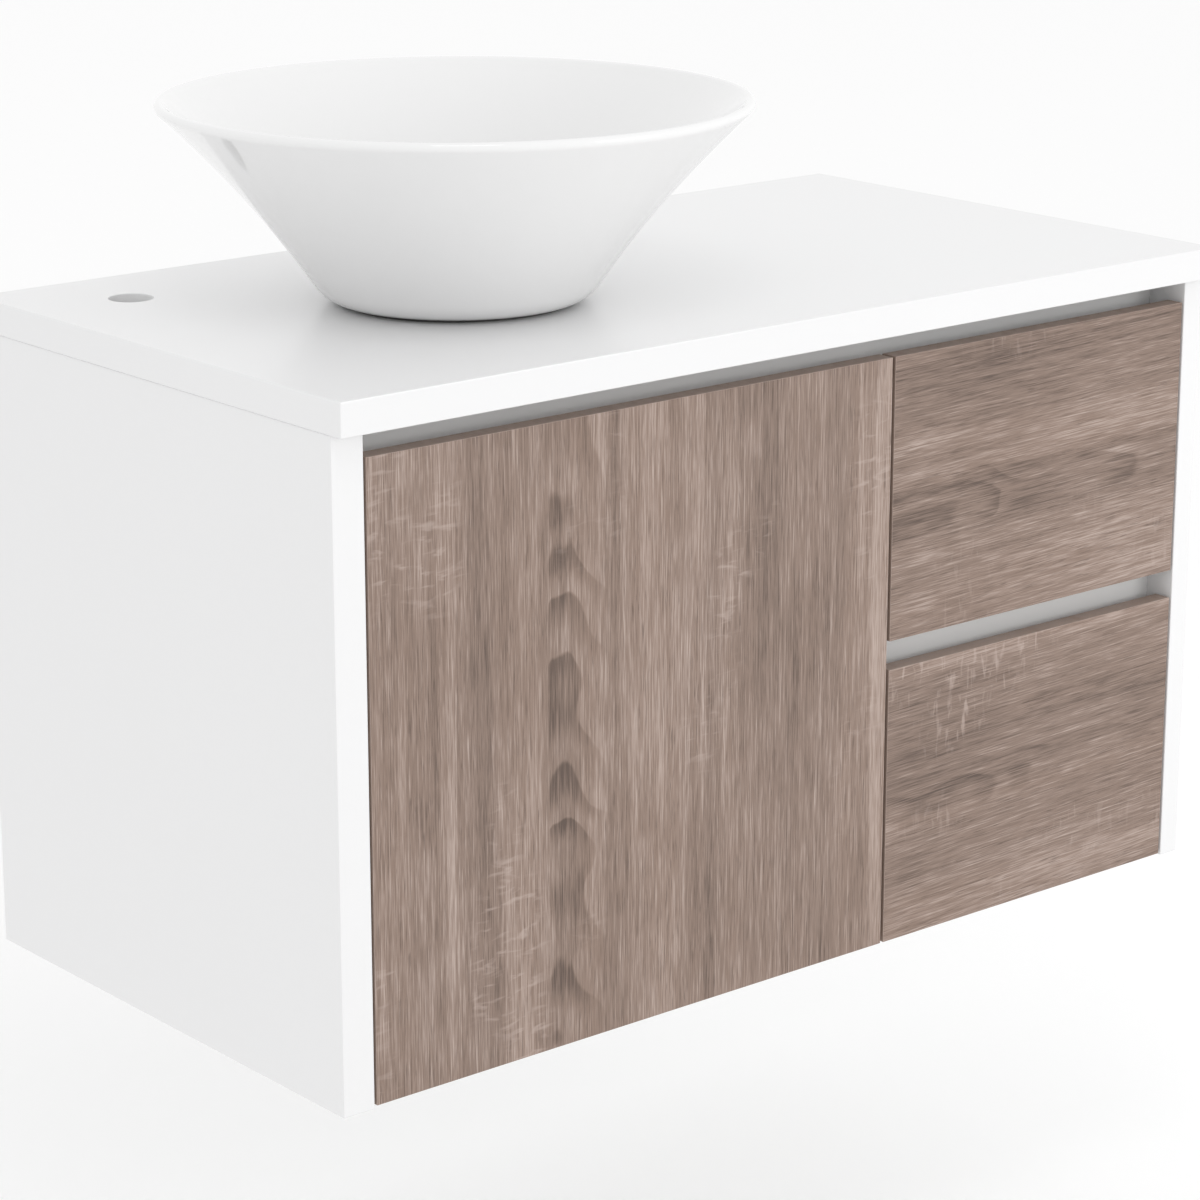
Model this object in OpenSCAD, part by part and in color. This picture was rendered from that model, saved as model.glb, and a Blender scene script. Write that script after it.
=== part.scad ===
// Wall-hung bathroom vanity with one hinged door, two drawers and a vessel basin.
// Origin: middle of the footprint, at the underside of the cabinet. The front faces -Y.

/* [Cabinet] */
// Width over the countertop
counter_w = 900; // [820:1:1000]
// Depth over the countertop
counter_d = 483; // [470:1:560]
// Countertop thickness
counter_t = 26; // [20:1:36]
// Cabinet height below the countertop
cab_h = 510; // [460:1:600]
// How far the countertop stands past each side of the cabinet
side_overhang = 1; // [0:0.5:4]
// How far the countertop stands past the side panels at the front
front_overhang = 13.5; // [5:0.5:18]
// Left side panel thickness
left_side_t = 28; // [24:0.5:34]
// Right side panel thickness
right_side_t = 20; // [18:0.5:24]
// Thickness of the inner carcass boards
board_t = 16; // [16:0.5:19]

/* [Fronts] */
// Thickness of the door and the drawer fronts
front_t = 16; // [16:0.5:19]
// Finger gap between the fronts and the countertop
top_gap = 20; // [14:1:26]
// Gap between the door and the left side panel
door_gap = 2; // [2:0.5:5]
// Gap between the door and the drawers
mid_gap = 3; // [2:0.5:5]
// Gap between the drawers and the right side panel
right_gap = 2.5; // [2:0.5:4]
// Width of the door
door_w = 510; // [460:1:530]
// Height of the lower drawer front
lower_front_h = 232; // [215:1:240]
// Finger gap between the two drawer fronts
drawer_gap = 24; // [18:1:28]
// Step of the fronts above the underside of the side panels
bottom_step = 2; // [1:0.5:4]
// Setback of the rail behind the top finger gap
top_rail_back = 38; // [32:1:44]
// Setback of the rail behind the drawer finger gap
gap_rail_back = 28; // [24:1:34]
// Height of both front rails
rail_h = 60; // [54:1:66]
// Space between the fronts and the carcass behind them
front_play = 2; // [1.5:0.5:3]

/* [Drawers and door] */
// Thickness of the drawer box boards
box_t = 12; // [12:0.5:15]
// Height of the drawer box sides
box_h = 150; // [130:1:160]
// Depth of the drawer boxes behind their fronts
box_d = 400; // [390:1:410]
// Thickness of the drawer bottoms
box_bottom_t = 6; // [4:0.5:8]
// Space for one drawer slide beside a drawer box
slide_w = 12.7; // [12.5:0.1:14]
// Height of the drawer slides
slide_h = 45; // [42:0.5:50]
// Sheet thickness of the drawer slides
slide_sheet = 1.2; // [1:0.1:1.5]
// Length of the drawer slides
slide_l = 400; // [390:1:405]
// Distance of each hinge from the door's end
hinge_inset = 90; // [80:1:110]
// Diameter of a hinge cup
cup_d = 35; // [34:0.5:36]
// Depth of a hinge cup in the door
cup_depth = 11.5; // [10:0.5:12]

/* [Basin] */
// Outer diameter of the basin at its rim
basin_d = 460; // [400:1:460]
// Height of the basin
basin_h = 158; // [130:1:180]
// Diameter of the basin's foot
foot_d = 183; // [150:1:210]
// Wall thickness of the basin, square to the wall
basin_wall = 8; // [7:0.5:11]
// Distance of the basin's centre from the left end of the countertop
basin_x = 281; // [262:1:420]
// Distance of the basin's centre from the front edge of the countertop
basin_y = 231; // [231:1:240]
// Thickness of the basin's glazed floor
basin_floor_t = 13; // [11:0.5:16]

/* [Tap and waste] */
// Diameter of the tap hole
tap_hole_d = 35; // [30:0.5:38]
// Distance of the tap hole from the left end of the countertop
tap_x = 89.5; // [75:0.5:110]
// Distance of the tap hole from the front edge of the countertop
tap_y = 398.5; // [390:0.5:430]
// Diameter of the waste hole through the countertop and the basin's foot
waste_hole_d = 46; // [45:0.5:50]
// Outer diameter of the waste body
waste_d = 44; // [42:0.5:44.5]
// Outer diameter of the tail pipe
tail_d = 32; // [30:0.5:34]
// Length of the tail pipe below the waste body
tail_l = 120; // [80:1:150]
// Diameter of the waste plug
plug_d = 62; // [56:0.5:66]

/* [Fixings] */
// Diameter of the wall screw holes
wall_hole_d = 8; // [6:0.5:10]
// Spacing of the wall screw holes across the cabinet
wall_pitch_x = 700; // [600:1:740]
// Spacing of the wall screw holes up the cabinet
wall_pitch_z = 364; // [320:1:380]
// Diameter of the cam locks
cam_d = 15; // [12:0.5:16]
// Diameter of the wood screws' shanks
screw_d = 4; // [3:0.5:5]

/* [Hidden] */
$fn = 64;
eps = 0.01;
// running clearance between sliding parts
run = 0.05;

// outer faces
xl = -counter_w / 2 + side_overhang;
xr = counter_w / 2 - side_overhang;
yf = -counter_d / 2 + front_overhang;
yb = counter_d / 2;
cab_d = yb - yf;

// inner faces of the side panels
il = xl + left_side_t;
ir = xr - right_side_t;
inner_w = ir - il;

// fronts
door_x = il + door_gap;
front_x = door_x + door_w + mid_gap;
front_w = ir - right_gap - front_x;
front_z = bottom_step;
front_top = cab_h - top_gap;
door_h = front_top - front_z;
upper_z = front_z + lower_front_h + drawer_gap;
upper_front_h = front_top - upper_z;
yc = yf + front_t + front_play;

// divider behind the gap between the door and the drawers
div_x = front_x - mid_gap / 2 - board_t / 2;
div_r = div_x + board_t;

// rails and back boards
top_rail_y = yf + top_rail_back;
gap_rail_y = yf + gap_rail_back;
gap_rail_z = upper_z - drawer_gap / 2 - rail_h / 2;
back_y = yb - board_t;
back_rail_h = 90;
upper_back_z = cab_h - back_rail_h;
stretch_y = top_rail_y + board_t;
stretch_d = 80;

// wall screw holes stand halfway up the two back rails
wall_z_low = board_t + 45;
wall_z_high = wall_z_low + wall_pitch_z;

// drawer boxes
box_w = ir - div_r - 2 * slide_w;
box_x = div_r + slide_w;
box_y = yf + front_t;
lower_box_z = board_t + 14;
upper_box_z = gap_rail_z + rail_h + 8;
slide_up = 50;
slide_y = top_rail_y + 2;

// slide section: each member is a channel inside the one before it
run_gap = 0.5;
mid_h = slide_h - 2 * slide_sheet - 2 * run_gap;
in_h = mid_h - 2 * slide_sheet - 2 * run_gap;
out_flange = 9;
mid_flange = 8;

// hinges
cup_x = door_x + 7 + cup_d / 2;
cup_y = yf + front_t - cup_depth;
hinge_zs = [front_z + hinge_inset, front_top - hinge_inset];
plate_y = yf + 37;

// basin
bx = -counter_w / 2 + basin_x;
by = -counter_d / 2 + basin_y;
top_z = cab_h + counter_t;
gasket_t = 2;
bz = top_z + gasket_t;
rr = basin_d / 2;
fr = foot_d / 2;
body_h = basin_h - gasket_t;
// the wall rises this many degrees off upright where it meets the round rim
rim_lean = 46;
rim_r = basin_wall / 2;
wall_top_z = body_h - rim_r * (1 + sin(rim_lean));
wall_top_r = rr - rim_r * (1 - cos(rim_lean));
wall_foot_r = fr + 12;

// tap hole
tx = -counter_w / 2 + tap_x;
ty = -counter_d / 2 + tap_y;

// waste
floor_z = bz + basin_floor_t;
flange_t = 3;
waste_bottom = cab_h - 34;
neck_d = tail_d - 3;
neck_l = 14;
washer_t = 4;
stem_d = 8;
bridge_z = cab_h + 8;
plug_z = floor_z + flange_t + 0.3;

// ---------- shared shapes ----------

// a bore or rod along X
module along_x(d, l) {
  rotate([0, 90, 0]) cylinder(d = d, h = l, $fn = 32);
}

// a bore or rod along Y
module along_y(d, l) {
  rotate([-90, 0, 0]) cylinder(d = d, h = l, $fn = 32);
}

// wood screw pointing up, head at the bottom
module screw_up(shank, l) {
  translate([0, 0, -1]) cylinder(d = shank, h = l + 1, $fn = 24);
  translate([0, 0, -2]) cylinder(d = 2 * shank, h = 2, $fn = 24);
}

// channel with its web at x = 0 and its flanges towards +X
module channel(l, h, depth, sheet) {
  difference() {
    cube([depth, l, h]);
    translate([sheet, -1, sheet]) cube([depth, l + 2, h - 2 * sheet]);
  }
}

// ---------- cabinet ----------

module countertop() {
  color("white") difference() {
    translate([-counter_w / 2, -counter_d / 2, cab_h]) cube([counter_w, counter_d, counter_t]);
    translate([tx, ty, cab_h - 1]) cylinder(d = tap_hole_d, h = counter_t + 2);
    translate([bx, by, cab_h - 1]) cylinder(d = waste_hole_d, h = counter_t + 2);
    for (p = stretcher_points())
      translate([p[0], p[1], cab_h - 1]) cylinder(d = screw_d, h = 15, $fn = 24);
  }
}

// screw positions through the two top stretchers
function stretcher_points() = [
  [il + 60, stretch_y + stretch_d / 2],
  [(il + div_x) / 2, stretch_y + stretch_d / 2],
  [div_x - 60, stretch_y + stretch_d / 2],
  [div_r + 60, stretch_y + stretch_d / 2],
  [ir - 60, stretch_y + stretch_d / 2]
];

module left_side_panel() {
  color("white") difference() {
    translate([xl, yf, 0]) cube([left_side_t, cab_d, cab_h]);
    bolt_holes(il, -1);
    for (z = hinge_zs)
      for (s = [-1, 1])
        translate([il - 10, plate_y + 10, z + s * 16]) along_x(screw_d, 11);
  }
}

module right_side_panel() {
  color("white") difference() {
    translate([ir, yf, 0]) cube([right_side_t, cab_d, cab_h]);
    bolt_holes(ir, 1);
    for (p = slide_screw_points()) translate([ir - 1, p[0], p[1]]) along_x(screw_d, 9);
  }
}

// y and z of the screws that hold the outer slides
function slide_screw_points() = [
  for (z = [lower_box_z, upper_box_z])
    for (y = [slide_y + 30, slide_y + slide_l - 40])
      [y, z + slide_up + slide_h / 2]
];

// y and z of the fixings between the boards and the side panels
function cam_points() = [
  [yf + 90, board_t / 2],
  [yb - 90, board_t / 2],
  [stretch_y + 20, cab_h - board_t / 2],
  [stretch_y + stretch_d - 20, cab_h - board_t / 2]
];

// holes for the cam bolts in a side panel whose inner face is at x
module bolt_holes(x, dir) {
  for (p = cam_points())
    translate([dir > 0 ? x - 1 : x - 10, p[0], p[1]]) along_x(5, 11);
}

module divider_panel() {
  color("white") difference() {
    translate([div_x, top_rail_y, board_t]) cube([board_t, back_y - top_rail_y, cab_h - board_t]);
    translate([div_x - 1, top_rail_y - 1, cab_h - rail_h]) cube([board_t + 2, board_t + 1, rail_h + 1]);
    for (p = slide_screw_points()) translate([div_r - 8, p[0], p[1]]) along_x(screw_d, 9);
  }
}

module bottom_panel() {
  color("white") difference() {
    translate([il, yc, 0]) cube([inner_w, yb - yc, board_t]);
    cam_pockets(0);
  }
}

// pockets for the cam locks: 0 the bottom panel, 1 the top stretchers
module cam_pockets(which) {
  for (i = [0, 1])
    for (side = [0, 1]) {
      p = cam_points()[2 * which + i];
      x = side == 0 ? il + 24 : ir - 24;
      z = which == 0 ? board_t - 12 : cab_h - board_t;
      translate([x, p[0], z + (which == 0 ? 0 : -1)]) cylinder(d = cam_d, h = 13);
      translate([side == 0 ? il - 1 : ir - 25, p[0], p[1]]) along_x(7, 26);
    }
}

module top_front_rail() {
  color("white") translate([il, top_rail_y, cab_h - rail_h]) cube([inner_w, board_t, rail_h]);
}

module drawer_gap_rail() {
  color("white") translate([div_r, gap_rail_y, gap_rail_z]) cube([ir - div_r, board_t, rail_h]);
}

module upper_back_rail() {
  color("white") back_rail(upper_back_z, wall_z_high);
}

module lower_back_rail() {
  color("white") back_rail(board_t, wall_z_low);
}

module back_rail(z, hole_z) {
  difference() {
    translate([il, back_y, z]) cube([inner_w, board_t, back_rail_h]);
    for (s = [-1, 1])
      translate([s * wall_pitch_x / 2, back_y - 1, hole_z]) along_y(wall_hole_d, board_t + 2);
  }
}

module left_top_stretcher() {
  color("white") top_stretcher(il, div_x, [0, 1, 2]);
}

module right_top_stretcher() {
  color("white") top_stretcher(div_r, ir, [3, 4]);
}

module top_stretcher(x0, x1, screws) {
  difference() {
    translate([x0, stretch_y, cab_h - board_t]) cube([x1 - x0, stretch_d, board_t]);
    cam_pockets(1);
    for (i = screws)
      translate([stretcher_points()[i][0], stretcher_points()[i][1], cab_h - board_t - 1])
        cylinder(d = screw_d, h = board_t + 2, $fn = 24);
  }
}

module countertop_screws() {
  color("silver") for (p = stretcher_points())
    translate([p[0], p[1], cab_h - board_t]) screw_up(screw_d, board_t + 12);
}

module cam_locks() {
  color("gray") for (which = [0, 1])
    for (i = [0, 1])
      for (side = [0, 1]) {
        p = cam_points()[2 * which + i];
        x = side == 0 ? il + 24 : ir - 24;
        z = which == 0 ? board_t - 12 : cab_h - board_t;
        translate([x, p[0], z]) difference() {
          cylinder(d = cam_d, h = 12);
          translate([-4, -0.8, which == 0 ? 10 : -1]) cube([8, 1.6, 3]);
          translate([side == 0 ? -cam_d : 0, 0, p[1] - z]) along_x(7, cam_d);
        }
      }
}

module cam_bolts() {
  color("silver") for (p = cam_points())
    for (side = [0, 1]) {
      translate([side == 0 ? il - 10 : ir, p[0], p[1]]) along_x(5, 10);
      translate([side == 0 ? il - eps : ir - 20, p[0], p[1]]) along_x(4, 20 + eps);
      translate([side == 0 ? il + 18 : ir - 24, p[0], p[1]]) along_x(6, 6);
    }
}

// ---------- hinges ----------

module hinge_plates() {
  color("silver") for (z = hinge_zs)
    difference() {
      translate([il, plate_y, z - 24]) cube([3, 44, 48]);
      for (s = [-1, 1]) translate([il - 1, plate_y + 10, z + s * 16]) along_x(screw_d, 6);
    }
}

module hinge_plate_screws() {
  color("silver") for (z = hinge_zs)
    for (s = [-1, 1]) {
      translate([il - 10, plate_y + 10, z + s * 16]) along_x(screw_d, 13);
      translate([il + 3, plate_y + 10, z + s * 16]) along_x(2 * screw_d, 2);
    }
}

module hinge_arms() {
  color("silver") for (z = hinge_zs)
    translate([il + 3, 0, z]) {
      translate([0, plate_y - 14, -7]) cube([10, 54, 14]);
      translate([0, yc + 1, -6]) cube([12, plate_y - 14 - yc, 12]);
      translate([10, yc + 1, -5]) cube([16, 6, 10]);
    }
}

module hinge_cups() {
  color("silver") for (z = hinge_zs) {
    translate([cup_x, cup_y, z]) rotate([-90, 0, 0]) difference() {
      cylinder(d = cup_d, h = cup_depth);
      translate([0, 0, 1]) cylinder(d = cup_d - 2, h = cup_depth);
    }
    difference() {
      translate([cup_x - 14, yf + front_t, z - 30]) cube([28, 1, 60]);
      translate([cup_x, yf + front_t - 1, z]) along_y(cup_d - 2, 3);
      for (s = [-1, 1]) translate([cup_x, yf + front_t - 1, z + s * 24]) along_y(screw_d, 3);
    }
  }
}

module hinge_cup_screws() {
  color("silver") for (z = hinge_zs)
    for (s = [-1, 1])
      translate([cup_x, 0, z + s * 24]) {
        translate([0, yf + front_t - 10, 0]) along_y(screw_d, 11);
        translate([0, yf + front_t + 1, 0]) along_y(6, 0.6);
      }
}

module door_panel() {
  color("tan") difference() {
    translate([door_x, yf, front_z]) cube([door_w, front_t, door_h]);
    for (z = hinge_zs) {
      translate([cup_x, cup_y, z]) along_y(cup_d, front_t);
      for (s = [-1, 1]) translate([cup_x, yf + front_t - 10, z + s * 24]) along_y(screw_d, 11);
    }
  }
}

// ---------- slides ----------

module outer_slide(x, right, z) {
  color("silver") translate([x, slide_y, z + slide_up]) mirror([right, 0, 0]) difference() {
    channel(slide_l, slide_h, out_flange, slide_sheet);
    for (y = [30, slide_l - 40]) translate([-1, y, slide_h / 2]) along_x(screw_d, 4);
  }
}

module middle_slide(x, right, z) {
  color("silver") translate([x, slide_y, z + slide_up]) mirror([right, 0, 0])
    translate([slide_sheet + 1.6, 0, slide_sheet + run_gap])
      channel(slide_l, mid_h, mid_flange, slide_sheet);
}

module inner_slide(x, right, z) {
  color("silver") translate([x, slide_y, z + slide_up + slide_sheet * 2 + run_gap * 2])
    mirror([right, 0, 0]) translate([-7.5, 0, 0]) difference() {
      cube([7.5, slide_l, in_h]);
      translate([-1, -1, slide_sheet]) cube([7.5 + 1 - slide_sheet, slide_l + 2, in_h - 2 * slide_sheet]);
    }
}

module upper_left_outer_slide() { outer_slide(div_r, 0, upper_box_z); }
module upper_right_outer_slide() { outer_slide(ir, 1, upper_box_z); }
module lower_left_outer_slide() { outer_slide(div_r, 0, lower_box_z); }
module lower_right_outer_slide() { outer_slide(ir, 1, lower_box_z); }
module upper_left_middle_slide() { middle_slide(div_r, 0, upper_box_z); }
module upper_right_middle_slide() { middle_slide(ir, 1, upper_box_z); }
module lower_left_middle_slide() { middle_slide(div_r, 0, lower_box_z); }
module lower_right_middle_slide() { middle_slide(ir, 1, lower_box_z); }
module upper_left_inner_slide() { inner_slide(box_x, 0, upper_box_z); }
module upper_right_inner_slide() { inner_slide(box_x + box_w, 1, upper_box_z); }
module lower_left_inner_slide() { inner_slide(box_x, 0, lower_box_z); }
module lower_right_inner_slide() { inner_slide(box_x + box_w, 1, lower_box_z); }

module outer_slide_screws() {
  color("silver") for (p = slide_screw_points()) {
    translate([div_r - 8, p[0], p[1]]) along_x(screw_d, 8 + slide_sheet);
    translate([div_r + slide_sheet, p[0], p[1]]) along_x(2 * screw_d - 1, 1);
    translate([ir - slide_sheet, p[0], p[1]]) along_x(screw_d, 8 + slide_sheet);
    translate([ir - slide_sheet - 1, p[0], p[1]]) along_x(2 * screw_d - 1, 1);
  }
}

module front_bumpers() {
  color("lightgray") for (x = [door_x + 60, div_x - 60, front_x + 60, ir - 60])
    translate([x, yc - front_play + run, board_t / 2]) along_y(8, front_play - run);
}

// ---------- drawers ----------

module drawer_front(z, h, box_z) {
  color("tan") difference() {
    translate([front_x, yf, z]) cube([front_w, front_t, h]);
    front_screw_bores(box_z, 10, 0);
  }
}

// bores for the screws from the box sides' ends into the front
module front_screw_bores(box_z, into, back) {
  for (x = [box_x + box_t / 2, box_x + box_w - box_t / 2])
    for (z = [box_z + 30, box_z + box_h - 20])
      translate([x, box_y - into, z]) along_y(screw_d, into + back + eps);
}

module drawer_side(x, box_z) {
  color("white") difference() {
    translate([x, box_y, box_z]) cube([box_t, box_d, box_h]);
    front_screw_bores(box_z, 10, 25);
    translate([x == box_x ? x + box_t - 5 : x - 1, box_y - 1, box_z + 10])
      cube([6, box_d + 2, box_bottom_t]);
  }
}

module drawer_back(box_z) {
  color("white") translate([box_x + box_t, box_y + box_d - box_t, box_z + 10 + box_bottom_t])
    cube([box_w - 2 * box_t, box_t, box_h - 10 - box_bottom_t]);
}

module drawer_bottom(box_z) {
  color("white") translate([box_x + box_t - 5, box_y, box_z + 10])
    cube([box_w - 2 * box_t + 10, box_d, box_bottom_t]);
}

module front_screws(box_z) {
  color("silver") for (x = [box_x + box_t / 2, box_x + box_w - box_t / 2])
    for (z = [box_z + 30, box_z + box_h - 20])
      translate([x, box_y - 10, z]) along_y(screw_d, 35);
}

module upper_drawer_front() { drawer_front(upper_z, upper_front_h, upper_box_z); }
module upper_drawer_left_side() { drawer_side(box_x, upper_box_z); }
module upper_drawer_right_side() { drawer_side(box_x + box_w - box_t, upper_box_z); }
module upper_drawer_back() { drawer_back(upper_box_z); }
module upper_drawer_bottom() { drawer_bottom(upper_box_z); }
module upper_front_screws() { front_screws(upper_box_z); }
module lower_drawer_front() { drawer_front(front_z, lower_front_h, lower_box_z); }
module lower_drawer_left_side() { drawer_side(box_x, lower_box_z); }
module lower_drawer_right_side() { drawer_side(box_x + box_w - box_t, lower_box_z); }
module lower_drawer_back() { drawer_back(lower_box_z); }
module lower_drawer_bottom() { drawer_bottom(lower_box_z); }
module lower_front_screws() { front_screws(lower_box_z); }

// ---------- basin ----------

// outside radius of the basin's wall at height z above its foot
function wall_r(z) = wall_foot_r + (wall_top_r - wall_foot_r)
  * (0.75 * (z / wall_top_z) + 0.25 * pow(z / wall_top_z, 2));

// inside radius of the basin at the same height
function bowl_r(z) = wall_r(z) - basin_wall / cos(rim_lean);

// points of a curve that leaves a towards b and reaches c from b
function bend(a, b, c) = [for (t = [0 : 0.125 : 1])
  (1 - t) * (1 - t) * a + 2 * t * (1 - t) * b + t * t * c];

module basin() {
  color("white") translate([bx, by, bz]) difference() {
    rotate_extrude($fn = 96) basin_half();
    translate([0, 0, -1]) cylinder(d = waste_hole_d, h = basin_floor_t + 2);
  }
}

// half section of the basin, right of its axis
module basin_half() {
  steps = 10;
  foot_z = 14;
  turn_z = basin_floor_t + 18;
  foot_bend = bend([fr - 2, 0], [wall_r(0), 0], [wall_r(foot_z), foot_z]);
  outer = [for (i = [1 : steps - 1])
    let (z = foot_z + (wall_top_z - foot_z) * i / steps) [wall_r(z), z]];
  rim = [for (a = [-rim_lean : 15 : 180 - rim_lean])
    [rr - rim_r + rim_r * cos(a), body_h - rim_r + rim_r * sin(a)]];
  inner = [for (i = [1 : steps - 1])
    let (z = body_h - rim_r + (turn_z - body_h + rim_r) * i / steps) [bowl_r(z), z]];
  floor_bend = bend([bowl_r(turn_z), turn_z], [bowl_r(basin_floor_t), basin_floor_t],
    [bowl_r(basin_floor_t) - 28, basin_floor_t]);
  polygon(concat([[0, 0]], foot_bend, outer, rim, inner, floor_bend, [[0, basin_floor_t]]));
}

module basin_gasket() {
  color("dimgray") translate([bx, by, top_z]) difference() {
    cylinder(d = foot_d - 4, h = gasket_t, $fn = 96);
    translate([0, 0, -1]) cylinder(d = foot_d - 24, h = gasket_t + 2, $fn = 96);
  }
}

// ---------- waste ----------

module waste_body() {
  color("silver") translate([bx, by, 0]) difference() {
    union() {
      translate([0, 0, waste_bottom]) cylinder(d = waste_d, h = floor_z + flange_t - waste_bottom);
      translate([0, 0, floor_z]) cylinder(d = waste_hole_d + 18, h = flange_t);
    }
    translate([0, 0, bridge_z + 4]) cylinder(d = waste_d - 6, h = 200);
    translate([0, 0, waste_bottom + neck_l])
      cylinder(d = waste_d - 10, h = bridge_z - waste_bottom - neck_l);
    translate([0, 0, waste_bottom - 1]) cylinder(d = neck_d, h = neck_l + 1);
    translate([0, 0, bridge_z - 1]) cylinder(d = stem_d + 2 * run, h = 6);
    for (a = [0 : 90 : 270])
      rotate([0, 0, a + 45]) translate([11.5, 0, bridge_z - 1]) cylinder(d = 9, h = 6);
  }
}

module waste_washer() {
  color("dimgray") translate([bx, by, cab_h - washer_t]) difference() {
    cylinder(d = waste_hole_d + 18, h = washer_t);
    translate([0, 0, -1]) cylinder(d = waste_d, h = washer_t + 2);
  }
}

module waste_locknut() {
  color("gold") translate([bx, by, cab_h - washer_t - 12]) difference() {
    cylinder(d = waste_d + 18, h = 12, $fn = 8);
    translate([0, 0, -1]) cylinder(d = waste_d, h = 14);
  }
}

module waste_tail_pipe() {
  color("silver") translate([bx, by, waste_bottom - 1 - tail_l]) difference() {
    union() {
      cylinder(d = tail_d, h = tail_l);
      cylinder(d = neck_d, h = tail_l + 1 + neck_l);
    }
    translate([0, 0, -1]) cylinder(d = neck_d - 3, h = tail_l + neck_l + 3);
  }
}

module waste_plug() {
  color("silver") translate([bx, by, 0]) {
    translate([0, 0, plug_z]) cylinder(d = plug_d, h = 3);
    translate([0, 0, plug_z + 3 - eps]) cylinder(d1 = plug_d, d2 = plug_d - 16, h = 3 + eps);
    translate([0, 0, bridge_z - 14]) cylinder(d = stem_d, h = plug_z - bridge_z + 14 + eps);
  }
}

// ---------- nodes ----------

countertop();
left_side_panel();
right_side_panel();
divider_panel();
bottom_panel();
top_front_rail();
drawer_gap_rail();
upper_back_rail();
lower_back_rail();
left_top_stretcher();
right_top_stretcher();
countertop_screws();
cam_locks();
cam_bolts();
hinge_plates();
hinge_plate_screws();
hinge_arms();
upper_left_outer_slide();
upper_right_outer_slide();
lower_left_outer_slide();
lower_right_outer_slide();
outer_slide_screws();
front_bumpers();
basin();
basin_gasket();
waste_body();
waste_washer();
waste_locknut();
waste_tail_pipe();
waste_plug();
door_panel();
hinge_cups();
hinge_cup_screws();
upper_drawer_front();
upper_drawer_left_side();
upper_drawer_right_side();
upper_drawer_back();
upper_drawer_bottom();
upper_left_inner_slide();
upper_right_inner_slide();
upper_front_screws();
lower_drawer_front();
lower_drawer_left_side();
lower_drawer_right_side();
lower_drawer_back();
lower_drawer_bottom();
lower_left_inner_slide();
lower_right_inner_slide();
lower_front_screws();
upper_left_middle_slide();
upper_right_middle_slide();
lower_left_middle_slide();
lower_right_middle_slide();
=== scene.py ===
"""Looks of a wall-hung bathroom vanity: white boards, oak-decor fronts and a glazed basin."""
import math

import bpy
import numpy as np
from bpy.props import FloatProperty, FloatVectorProperty, PointerProperty
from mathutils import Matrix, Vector


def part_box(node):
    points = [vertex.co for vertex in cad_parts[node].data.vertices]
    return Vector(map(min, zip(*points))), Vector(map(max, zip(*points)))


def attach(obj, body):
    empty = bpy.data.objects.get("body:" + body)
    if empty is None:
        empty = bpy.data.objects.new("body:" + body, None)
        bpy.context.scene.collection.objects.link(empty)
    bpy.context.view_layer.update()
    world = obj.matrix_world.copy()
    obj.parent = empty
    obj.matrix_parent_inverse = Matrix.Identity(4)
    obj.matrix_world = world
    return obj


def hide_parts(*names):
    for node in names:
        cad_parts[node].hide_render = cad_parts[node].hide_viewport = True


bl_info = {
    "name": "Bathroom Vanity with Vessel Basin",
    "version": (1, 0, 0),
    "blender": (4, 5, 0),
    "location": "View3D > Sidebar > Vanity",
    "description": "Finishes and fine surfaces for a vanity with a vessel basin",
    "category": "Object",
}

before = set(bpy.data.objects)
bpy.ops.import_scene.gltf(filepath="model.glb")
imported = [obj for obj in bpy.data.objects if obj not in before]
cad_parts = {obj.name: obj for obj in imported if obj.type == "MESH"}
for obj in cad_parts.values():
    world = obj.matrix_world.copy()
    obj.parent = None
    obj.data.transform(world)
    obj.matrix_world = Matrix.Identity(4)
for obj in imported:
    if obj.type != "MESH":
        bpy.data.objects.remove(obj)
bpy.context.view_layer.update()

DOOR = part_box("door_panel")
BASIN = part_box("basin")
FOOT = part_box("basin_gasket")

BOARDS = ("left_side_panel", "right_side_panel")
CARCASS = (
    "divider_panel", "bottom_panel", "top_front_rail", "drawer_gap_rail",
    "upper_back_rail", "lower_back_rail", "left_top_stretcher", "right_top_stretcher",
)
DRAWERS = ("upper", "lower")
FRONTS = ("door_panel", "upper_drawer_front", "lower_drawer_front")
SLIDE_PARTS = ("outer", "middle", "inner")

# Basin section, in metres: the wall's line passes the foot's edge by FOOT_FLARE and is reached
# FOOT_BEND up; the inside leaves it FLOOR_BEND up and reaches the floor at FLOOR_TOP.
FOOT_FLARE = 0.012
FOOT_BEND = 0.014
FLOOR_TOP = 0.013
FLOOR_BEND = 0.031
FLOOR_RUN = 0.028
RIM_LEAN = 46
WASTE_HOLE = 0.023
PROFILE_STEP = 0.0009

# Oak decor, in metres across the grain: the flame's crest, then where the flame fades out.
CREST_MIDDLE = 0.012
CREST_HALF = 0.009
FLAME_FADE = (0.068, 0.016)
FLAME_CURL = 28.0
FLAME_DARK = -0.36
OAK_TONE = 0.55
WARM_OAK = (0.29, 0.195, 0.145, 1.0)
# name: cycles per metre across and along the grain, detail, roughness, share in the tone
GRAIN = {
    "wide": (17, 0.8, 2.0, 0.5, 0.90),
    "streak": (110, 2.0, 3.0, 0.6, 0.50),
    "thread": (430, 7, 2.0, 0.6, 0.55),
    "fibre": (900, 26, 2.0, 0.7, 1.35),
    "cloud": (8.0, 5.0, 2.0, 0.5, 0.45),
}

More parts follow.
